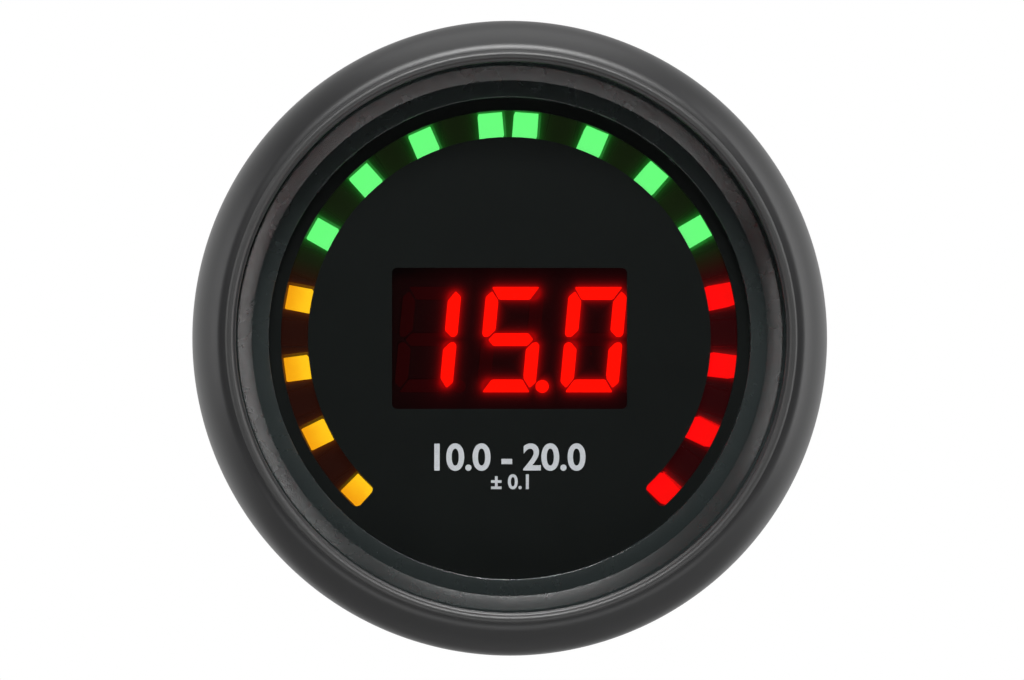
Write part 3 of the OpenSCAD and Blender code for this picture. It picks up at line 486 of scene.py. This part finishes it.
# Arc filter: a smoked strip behind the arc slot. It is lit from behind by the squares next to it, so each
# square has a narrow bright rim and a wide faint glow, and the strip's tint changes along the arc.
film_cloud_mm = 0.7
film_swing = 0.08


def film_finish(name, roughness):
    """A see-through film whose tint and glow are colour attributes of its own points."""
    made = bpy.data.materials.new(name)
    made.use_nodes = True
    made.node_tree.nodes.clear()
    tree = made.node_tree
    tint = add_node(tree, "Attribute", attribute_name="tint")
    glow = add_node(tree, "Attribute", attribute_name="glow")
    place = add_node(tree, "TexCoord").outputs["Object"]
    cloud = add_node(tree, "TexNoise", {"Vector": place, "Scale": 1.0 / (film_cloud_mm * MM), "Detail": 3.0})
    gloss = add_node(tree, "MapRange", {
        "Value": cloud.outputs["Fac"], "To Min": roughness - film_swing, "To Max": roughness + film_swing})
    shader = add_node(tree, "BsdfPrincipled", {
        "Base Color": tint.outputs["Color"], "Roughness": gloss.outputs["Result"], "Alpha": film_alpha,
        "Specular IOR Level": 0.0, "Emission Color": glow.outputs["Color"], "Emission Strength": 1.0})
    tree.links.new(shader.outputs[0], add_node(tree, "OutputMaterial").inputs["Surface"])
    return made


def film_piece(name, front, depth, tint, glow):
    """A closed film: a fine front grid whose rim is carried back by its depth and closed with wide faces."""
    rows, columns = front.shape[:2]
    rim = front[:, [0, -1]] + [0.0, depth, 0.0]
    points = np.vstack([front.reshape(-1, 3), rim.reshape(-1, 3)])
    faces = grid_faces(rows, columns, False, False).tolist()
    back = rows * columns
    for i in range(rows - 1):
        here, there = back + 2 * i, back + 2 * (i + 1)
        near, far = i * columns, (i + 1) * columns
        faces.append([here, here + 1, there + 1, there])
        faces.append([near, here, there, far])
        faces.append([near + columns - 1, far + columns - 1, there + 1, here + 1])
    first = list(range(columns))
    last = [(rows - 1) * columns + c for c in first]
    faces.append(first + [back + 1, back])
    faces.append(last[::-1] + [back + 2 * (rows - 1), back + 2 * (rows - 1) + 1])
    piece = new_piece(name, points, faces)
    for label, values in (("tint", tint), ("glow", glow)):
        around = np.vstack([values.reshape(-1, 3), values[:, [0, -1]].reshape(-1, 3)])
        colours = np.hstack([around, np.ones((len(around), 1))])
        attribute = piece.data.attributes.new(label, "FLOAT_COLOR", "POINT")
        attribute.data.foreach_set("color", colours.ravel().astype(np.float32))
    return piece


arc_low, arc_high = (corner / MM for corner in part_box("arc_filter"))
film_outer = arc_high.x
slot_middle_r = 19.2
film_inner = 2 * slot_middle_r - film_outer
film_end = 139.0
film_step = 0.12
rim_width = 0.22
haze_width = 1.1
rim_glow = {"amber": (0.09, 0.020, 0.0), "green": (0.004, 0.16, 0.012), "red": (0.16, 0.001, 0.001)}
haze_glow = {"amber": (0.006, 0.001, 0.0), "green": (0.0005, 0.008, 0.0005), "red": (0.008, 0.0, 0.0)}
zone_glow = {"amber": (0.007, 0.0014, 0.0008), "green": (0.003, 0.0042, 0.0014), "red": (0.0085, 0.0003, 0.0006)}
zone_edges = (-72.0, 69.3)
zone_blur = 6.0


def square_distance(x, z, number):
    """Distance from each point to a light's square."""
    middle, across, outward = light_frame(number)
    x, z = x - middle[0], z - middle[1]
    out_x = np.maximum(np.abs(x * across[0] + z * across[1]) - light_side / 2, 0.0)
    out_z = np.maximum(np.abs(x * outward[0] + z * outward[1]) - light_side / 2, 0.0)
    return np.hypot(out_x, out_z)


arc_rows = int(math.radians(2 * film_end) * film_outer / film_step)
arc_columns = int((film_outer - film_inner) / film_step)
clock = np.radians(np.linspace(-film_end, film_end, arc_rows))[:, None]
span = np.linspace(film_inner, film_outer, arc_columns)[None, :]
film_x = span * np.sin(clock)
film_z = span * np.cos(clock)
film_front = np.stack([film_x, np.full_like(film_x, arc_low.y), film_z], axis=2)
degrees = np.degrees(clock) + 0.0 * span
to_green = np.clip((degrees - zone_edges[0]) / zone_blur + 0.5, 0.0, 1.0)[:, :, None]
to_red = np.clip((degrees - zone_edges[1]) / zone_blur + 0.5, 0.0, 1.0)[:, :, None]
film_glow = (np.array(zone_glow["amber"]) * (1 - to_green) + np.array(zone_glow["green"]) * (to_green - to_red)
             + np.array(zone_glow["red"]) * to_red)
film_tint = film_glow.copy()
for colour, numbers in lit.items():
    for number in numbers:
        away = square_distance(film_x, film_z, number)[:, :, None]
        film_glow += np.array(rim_glow[colour]) * np.exp(-away / rim_width)
        film_glow += np.array(haze_glow[colour]) * np.exp(-away / haze_width)
arc_film = film_piece("arc_strip", film_front, arc_high.y - arc_low.y, film_tint, film_glow / film_alpha)
arc_film.data.materials.append(film_finish("arc_film", 0.4))
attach(arc_film, "case")
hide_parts("arc_filter")

# Display filter: a dark red window behind the dial's opening. Round the lit segments it glows softly.
window_low, window_high = (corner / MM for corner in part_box("display_filter"))
edge_glow = (0.30, 0.0005, 0.0)
soft_width = 0.24
wide_glow = (0.012, 0.0, 0.0006)
haze_reach = 1.6
window_red = (0.006, 0.0004, 0.0005)
trim = segment_w * 0.35
middle_gap = trim + 0.3
nowhere = 99.0
segment_lines = {
    "a": ((-half_w + trim, half_h), (half_w - trim, half_h)),
    "b": ((half_w, half_h - trim), (half_w, middle_gap)),
    "c": ((half_w, -half_h + trim), (half_w, -middle_gap)),
    "d": ((-half_w + trim, -half_h), (half_w - trim, -half_h)),
    "e": ((-half_w, -half_h + trim), (-half_w, -middle_gap)),
    "f": ((-half_w, half_h - trim), (-half_w, middle_gap)),
    "g": ((-half_w + trim, 0.0), (half_w - trim, 0.0)),
}


def line_distance(x, z, start, end):
    """Distance from each point to a straight line between two points."""
    start, end = np.array(start), np.array(end)
    way = end - start
    share = ((x - start[0]) * way[0] + (z - start[1]) * way[1]) / (way @ way)
    share = np.clip(share, 0.0, 1.0)
    return np.hypot(x - start[0] - share * way[0], z - start[1] - share * way[1])


window_columns = int((window_high.x - window_low.x) / film_step)
window_rows = int((window_high.z - window_low.z) / film_step)
window_x, window_z = np.meshgrid(
    np.linspace(window_low.x, window_high.x, window_columns),
    np.linspace(window_low.z, window_high.z, window_rows))
away = np.full(window_x.shape, nowhere)
for digit, names in enumerate(lit_segments):
    upright_z = window_z - digits_middle[1]
    upright_x = window_x - digits_middle[0] - upright_z * lean - (digit - 1) * digit_step
    for name in names:
        away = np.minimum(away, line_distance(upright_x, upright_z, *segment_lines[name]) - segment_w / 2)
away = np.minimum(away, np.hypot(window_x - point_place[0], window_z - point_place[1]) - point_r)
away = np.maximum(away, 0.0)[:, :, None]
window_front = np.stack([window_x, np.full_like(window_x, window_low.y), window_z], axis=2)
window_glow = np.array(edge_glow) * np.exp(-away / soft_width) + np.array(wide_glow) * np.exp(-away / haze_reach)
window_tint = np.broadcast_to(window_red, window_front.shape)
window_film = film_piece("red_window", window_front, window_high.y - window_low.y,
                         window_tint, window_glow / film_alpha)
window_film.data.materials.append(film_finish("display_film", 0.35))
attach(window_film, "case")
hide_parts("display_filter")

# Dial face: a thin blackened plate with a fine matt surface. The numbers are printed in pale ink.
dial_black = finish("dial_black", (0.0036, 0.0052, 0.0047), 0.6, tone=0.12, tone_size=4.0,
                    grain_size=0.12, grain_depth=0.003, **{"Specular IOR Level": 0.1})
dress(dial_black, "dial_face")
dial_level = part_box("dial_face")[0].y / MM
ink_t = 0.02


def printed(name, words, height, middle_x, middle_z, boldness):
    """Numbers as flat ink on the dial. The outline is scaled so that its height is the one given."""
    curve = bpy.data.curves.new(name, "FONT")
    curve.body = words
    curve.align_x = "CENTER"
    curve.offset = boldness
    curve.extrude = 0.01
    holder = bpy.data.objects.new(name + "_outline", curve)
    mesh = bpy.data.meshes.new_from_object(holder)
    bpy.data.objects.remove(holder)
    flat = np.zeros(len(mesh.vertices) * 3)
    mesh.vertices.foreach_get("co", flat)
    flat = flat.reshape(-1, 3)
    low, high = flat.min(axis=0), flat.max(axis=0)
    flat -= (low + high) / 2
    size = height / (high[1] - low[1])
    depth = ink_t / (high[2] - low[2])
    x = middle_x + flat[:, 0] * size
    y = dial_level - ink_t / 2 - flat[:, 2] * depth
    z = middle_z + flat[:, 1] * size
    mesh.vertices.foreach_set("co", (np.stack([x, y, z], axis=1) * MM).ravel())
    piece = bpy.data.objects.new(name, mesh)
    scene.collection.objects.link(piece)
    return piece


ink = finish("dial_ink", (0.60, 0.63, 0.66), 0.6, tone=0.08, tone_size=0.4, grain_size=0.1, grain_depth=0.002)
for name, words, height, middle_z in (("range_numbers", "10.0 - 20.0", 2.45, -10.6),
                                      ("step_numbers", "± 0.1", 1.35, -12.8)):
    numbers = printed(name, words, height, 0.03, middle_z, 0.025)
    numbers.data.materials.append(ink)
    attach(numbers, "case")

# Sight ring: a moulded black ring, glossy from its mould. A wall, a shallow cove and a flat step lead down
# from the lens to the dial. The rubber ring between it and the lens hardly shows.
ring_low, ring_high = (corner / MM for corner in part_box("sight_ring"))
lens_low, lens_high = (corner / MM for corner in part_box("lens"))
flange_r = ring_high.x
dial_top = -ring_high.y
ledge_level = -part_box("lens_gasket")[1].y / MM
cove_r = 24.148
step_r = 22.948
view_r = 21.468
step_level = dial_top + 1.7
low_level = step_level - 0.37
step_drop = 0.22
view_edge_r = 0.06
rim_t = 2.4
collar_in_r = lens_high.x + 0.2
collar_t = 0.8
collar_top = -ring_low.y
cove_foot_tilt = 33.0
cove_top_tilt = 41.0
foot_sine, top_sine = (math.sin(math.radians(tilt)) for tilt in (cove_foot_tilt, cove_top_tilt))
cove_bend_r = (cove_r - step_r) / (top_sine - foot_sine)
cove_middle = (step_r - cove_bend_r * foot_sine,
               step_level + cove_bend_r * math.cos(math.radians(cove_foot_tilt)))


def oval_points(centre, half_sizes, start, end, count):
    """Points of an oval's stretch between two angles, as (radius, height) pairs."""
    angle = np.radians(np.linspace(start, end, count))
    return np.stack([centre[0] + half_sizes[0] * np.cos(angle), centre[1] + half_sizes[1] * np.sin(angle)], axis=1)


def front_up(section):
    """Turns (radius, height over the panel) pairs to the part's frame, where the face looks along -Y."""
    return np.vstack(section) * [1.0, -1.0]


ring_section = front_up([
    [(view_r, dial_top), (flange_r, dial_top), (flange_r, dial_top + rim_t)],
    [(collar_in_r + collar_t, dial_top + rim_t), (collar_in_r + collar_t, collar_top)],
    [(collar_in_r, collar_top), (collar_in_r, ledge_level), (cove_r, ledge_level)],
    oval_points(cove_middle, (cove_bend_r, cove_bend_r), cove_top_tilt - 90.0, cove_foot_tilt - 90.0, 24),
    oval_points((step_r - 0.03, step_level - step_drop), (0.03, 0.03), 0, 90, 4),
    oval_points((view_r + view_edge_r, low_level - view_edge_r), (view_edge_r, view_edge_r), 90, 180, 12),
])
ring_surface = turned_grid(ring_section, 320)
sight_ring = new_piece("sight_ring_moulded", ring_surface,
                       grid_faces(*ring_surface.shape[:2], True, True), sharp_angle=28.0)
sight_ring.data.materials.append(
    finish("sight_ring_black", (0.022, 0.030, 0.030), 0.27, tone=0.04, tone_size=2.5, grain_size=0.1,
           grain_depth=0.0006, rough_swing=0.008, **{"Specular IOR Level": 0.9, "IOR": 1.62}))
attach(sight_ring, "case")
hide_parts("sight_ring")
gasket_rubber = finish("gasket_rubber", (0.012, 0.012, 0.012), 0.7, tone_size=1.0)
dress(gasket_rubber, "lens_gasket")

# Lens: a flat disc of clear glass. It mirrors as much as glass does at each angle and lets the rest through.
lens_glass = bpy.data.materials.new("lens_glass")
lens_glass.use_nodes = True
lens_glass.node_tree.nodes.clear()
tree = lens_glass.node_tree
head_on_share = 0.04
slant = add_node(tree, "Math", {
    0: add_node(tree, "LayerWeight", {"Blend": 0.5}).outputs["Facing"], 1: 5.0}, operation="POWER")
mirror_share = add_node(tree, "Math", {
    0: slant.outputs["Value"], 1: 1.0 - head_on_share, 2: head_on_share}, operation="MULTIPLY_ADD")
lens_shader = add_node(tree, "BsdfPrincipled", {
    "Base Color": (1.0, 1.0, 1.0, 1.0), "Metallic": 1.0, "Roughness": 0.02,
    "Alpha": mirror_share.outputs["Value"]})
tree.links.new(lens_shader.outputs[0], add_node(tree, "OutputMaterial").inputs["Surface"])
dress(lens_glass, "lens")

# Bezel: one ring of rolled sheet steel, stoved in satin black. Its bulged side turns over in a tight crown,
# and a fine bead and a sloped lip follow in front of the lens. A paler colour on the bead is a painted highlight.
bezel_low, bezel_high = (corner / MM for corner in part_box("bezel"))
bezel_r = bezel_high.x
bezel_h = -bezel_low.y
lens_top = -lens_low.y
sheet_t = 0.8
roll_t = 0.42
crimp_r = 26.75
seat_edge_r = 0.7
bulge_r = 6.4
bulge_turn = 50.0
crown_bend_r = 1.3
bead_r = 0.37
bead_rise = 0.2
bead_inset = 0.3
lip_w = 0.21
lip_fall = 0.12
lip_edge_r = 0.1
bulge_sine, bulge_cosine = math.sin(math.radians(bulge_turn)), math.cos(math.radians(bulge_turn))
crown_x = bezel_r - bulge_r * (1.0 - bulge_cosine) - crown_bend_r * bulge_cosine
crown_level = bezel_h - bead_rise
bead_x = crown_x - bead_inset
lip_r = bead_x - bead_r - lip_w
crown_middle = (crown_x, crown_level - crown_bend_r)
bulge_middle = (bezel_r - bulge_r, crown_level - crown_bend_r * (1.0 - bulge_sine) - bulge_r * bulge_sine)
bead_outer_angle = 27.4
bead_inner_angle = 162.0
crown_end_angle = 88.7

bezel_section = front_up([
    [(crimp_r, 0.0)],
    oval_points((bezel_r - seat_edge_r, seat_edge_r), (seat_edge_r, seat_edge_r), -90, 0, 14),
    oval_points(bulge_middle, (bulge_r, bulge_r), 0, bulge_turn, 44),
    oval_points(crown_middle, (crown_bend_r, crown_bend_r), bulge_turn, crown_end_angle, 26),
    oval_points((bead_x, bezel_h - bead_r), (bead_r, bead_r), bead_outer_angle, bead_inner_angle, 26),
    oval_points((lip_r + lip_edge_r, crown_level - lip_fall - lip_edge_r), (lip_edge_r, lip_edge_r), 90, 180, 10),
    [(lip_r, lens_top)],
    oval_points(crown_middle, (crown_bend_r - roll_t, crown_bend_r - roll_t), 90, bulge_turn, 8),
    oval_points(bulge_middle, (bulge_r - roll_t, bulge_r - roll_t), bulge_turn, 0, 16),
    [(bezel_r - sheet_t, sheet_t), (crimp_r, sheet_t)],
])


paint_black = (0.0125, 0.0125, 0.0132)
paint_faded = (0.0155, 0.0155, 0.0162)
# Painted highlight: the bead's circle gets this paler colour.
bead_painted_highlight = (0.036, 0.036, 0.036)
mottle_mm = 2.5
mottle_swing = 0.05
bead_band_in = bead_r - 0.06
bead_band_out = bead_r + 0.02


def bezel_finish(roll_roughness, bead_roughness, grain_size, roll_grain, bead_grain):
    """Satin black paint with a fine grain all over. On the bead's circle the grain stands out more and the colour
    is a paler painted highlight.
    """
    made = bpy.data.materials.new("bezel_satin_black")
    made.use_nodes = True
    made.node_tree.nodes.clear()
    tree = made.node_tree
    place = add_node(tree, "TexCoord").outputs["Object"]
    flat = add_node(tree, "Mapping", {"Vector": place, "Scale": (1.0, 0.0, 1.0)})
    reach = add_node(tree, "VectorMath", {0: flat.outputs["Vector"]}, operation="LENGTH")
    off_bead = add_node(tree, "Math", {
        0: add_node(tree, "Math", {0: reach.outputs["Value"], 1: bead_x * MM}, operation="SUBTRACT").outputs[0]},
        operation="ABSOLUTE")
    on_bead = add_node(tree, "MapRange", {
        "Value": off_bead.outputs[0], "From Min": bead_band_in * MM, "From Max": bead_band_out * MM,
        "To Min": 1.0, "To Max": 0.0}, interpolation_type="SMOOTHSTEP").outputs["Result"]
    mottle = add_node(tree, "TexNoise", {"Vector": place, "Scale": 1.0 / (mottle_mm * MM), "Detail": 4.0})
    tint = add_node(tree, "Mix", {
        "Factor": mottle.outputs["Fac"], "A": (*paint_black, 1.0), "B": (*paint_faded, 1.0)},
        data_type="RGBA")
    # Painted highlight: the colour is mixed towards the paler one on the bead's circle.
    bead_highlight_tint = add_node(tree, "Mix", {
        "Factor": on_bead, "A": colour_output(tint), "B": (*bead_painted_highlight, 1.0)}, data_type="RGBA")
    gloss = add_node(tree, "MapRange", {
        "Value": on_bead, "To Min": roll_roughness, "To Max": bead_roughness}).outputs["Result"]
    worn = add_node(tree, "Math", {0: mottle.outputs["Fac"], 1: mottle_swing, 2: gloss}, operation="MULTIPLY_ADD")
    grain = add_node(tree, "TexNoise", {"Vector": place, "Scale": 1.0 / (grain_size * MM), "Detail": 3.0})
    depth = add_node(tree, "MapRange", {"Value": on_bead, "To Min": roll_grain, "To Max": bead_grain})
    height = add_node(tree, "Math", {0: grain.outputs["Fac"], 1: depth.outputs["Result"]}, operation="MULTIPLY")
    bump = add_node(tree, "Bump", {"Height": height.outputs[0], "Distance": MM, "Strength": 1.0})
    shader = add_node(tree, "BsdfPrincipled", {
        "Base Color": colour_output(bead_highlight_tint), "Roughness": worn.outputs[0], "Normal": bump.outputs["Normal"],
        "Specular IOR Level": 0.65})
    tree.links.new(shader.outputs[0], add_node(tree, "OutputMaterial").inputs["Surface"])
    return made


bezel_surface = turned_grid(bezel_section, 400)
bezel = new_piece("bezel_rolled", bezel_surface, grid_faces(*bezel_surface.shape[:2], True, True), sharp_angle=25.0)
bezel.data.materials.append(bezel_finish(0.38, 0.4, 0.11, 0.004, 0.018))
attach(bezel, "case")
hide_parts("bezel")

# Clamp bracket and lock washers: a strip of zinc-plated steel bent to a U, with the grain of rolling along
# it. The split washers lie between its back and the thumb nuts.
bracket_steel = finish("bracket_steel", (0.60, 0.61, 0.62), 0.32, metallic=1.0, tone=0.16, tone_size=2.5,
                       grain_size=0.3, grain_depth=0.004, stretch=(0.15, 0.15, 1.0))
dress(bracket_steel, "clamp_bracket")
dress(screw_steel, "lock_washer_left", "lock_washer_right")

# Thumb nuts: turned brass with a straight knurl for the fingers and a plain collar towards the bracket.
nut_low, nut_high = (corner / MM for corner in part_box("thumb_nut_left"))
nut_r = (nut_high.x - nut_low.x) / 2
collar_r = 4.1
collar_h = 1.6
nut_chamfer = 0.45
bore_r = stud_r + 0.05
bore_chamfer = 0.4
knurl_depth = 0.35
knurl_slope = 1.3
knurl_flat = 0.15
collar_break = 0.2
knurl_count = 32
knurl_steps = 8


def nut_surface(side):
    """A turned section whose grip is grooved: the radius dips by the knurl's depth between its ridges."""
    near, far = nut_low.y, nut_high.y
    section = np.array([
        (bore_r + bore_chamfer, near), (collar_r - collar_break, near), (collar_r, near + collar_break),
        (collar_r, near + collar_h),
        (nut_r - nut_chamfer - knurl_depth, near + collar_h), (nut_r, near + collar_h + nut_chamfer),
        (nut_r, far - nut_chamfer), (nut_r - nut_chamfer - knurl_depth, far), (bore_r + bore_chamfer, far),
        (bore_r, far - bore_chamfer), (bore_r, near + bore_chamfer)])
    grooved = np.isclose(section[:, 0], nut_r)
    turn = np.linspace(0.0, 2.0 * math.pi, knurl_count * knurl_steps, endpoint=False)[:, None]
    ridge = np.abs(((turn * knurl_count / (2.0 * math.pi)) % 1.0) * 2.0 - 1.0)
    dip = knurl_depth * np.clip(knurl_slope * (1.0 - ridge) - knurl_flat, 0.0, 1.0)
    radius = section[None, :, 0] - dip * grooved[None, :]
    level = np.broadcast_to(section[None, :, 1], radius.shape)
    return np.stack([side * stud_x + radius * np.cos(turn), level, radius * np.sin(turn)], axis=2)


nut_brass = finish("thumb_nut_brass", (0.78, 0.60, 0.30), 0.28, metallic=1.0, tone=0.12, tone_size=1.0,
                   grain_size=0.1, grain_depth=0.002, stretch=(1.0, 0.3, 1.0))
for side, label in ((-1, "left"), (1, "right")):
    surface = nut_surface(side)
    nut = new_piece(f"thumb_nut_{label}_knurled", surface, grid_faces(*surface.shape[:2], True, True))
    nut.data.materials.append(nut_brass)
    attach(nut, f"nut_{label}")
    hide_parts(f"thumb_nut_{label}")
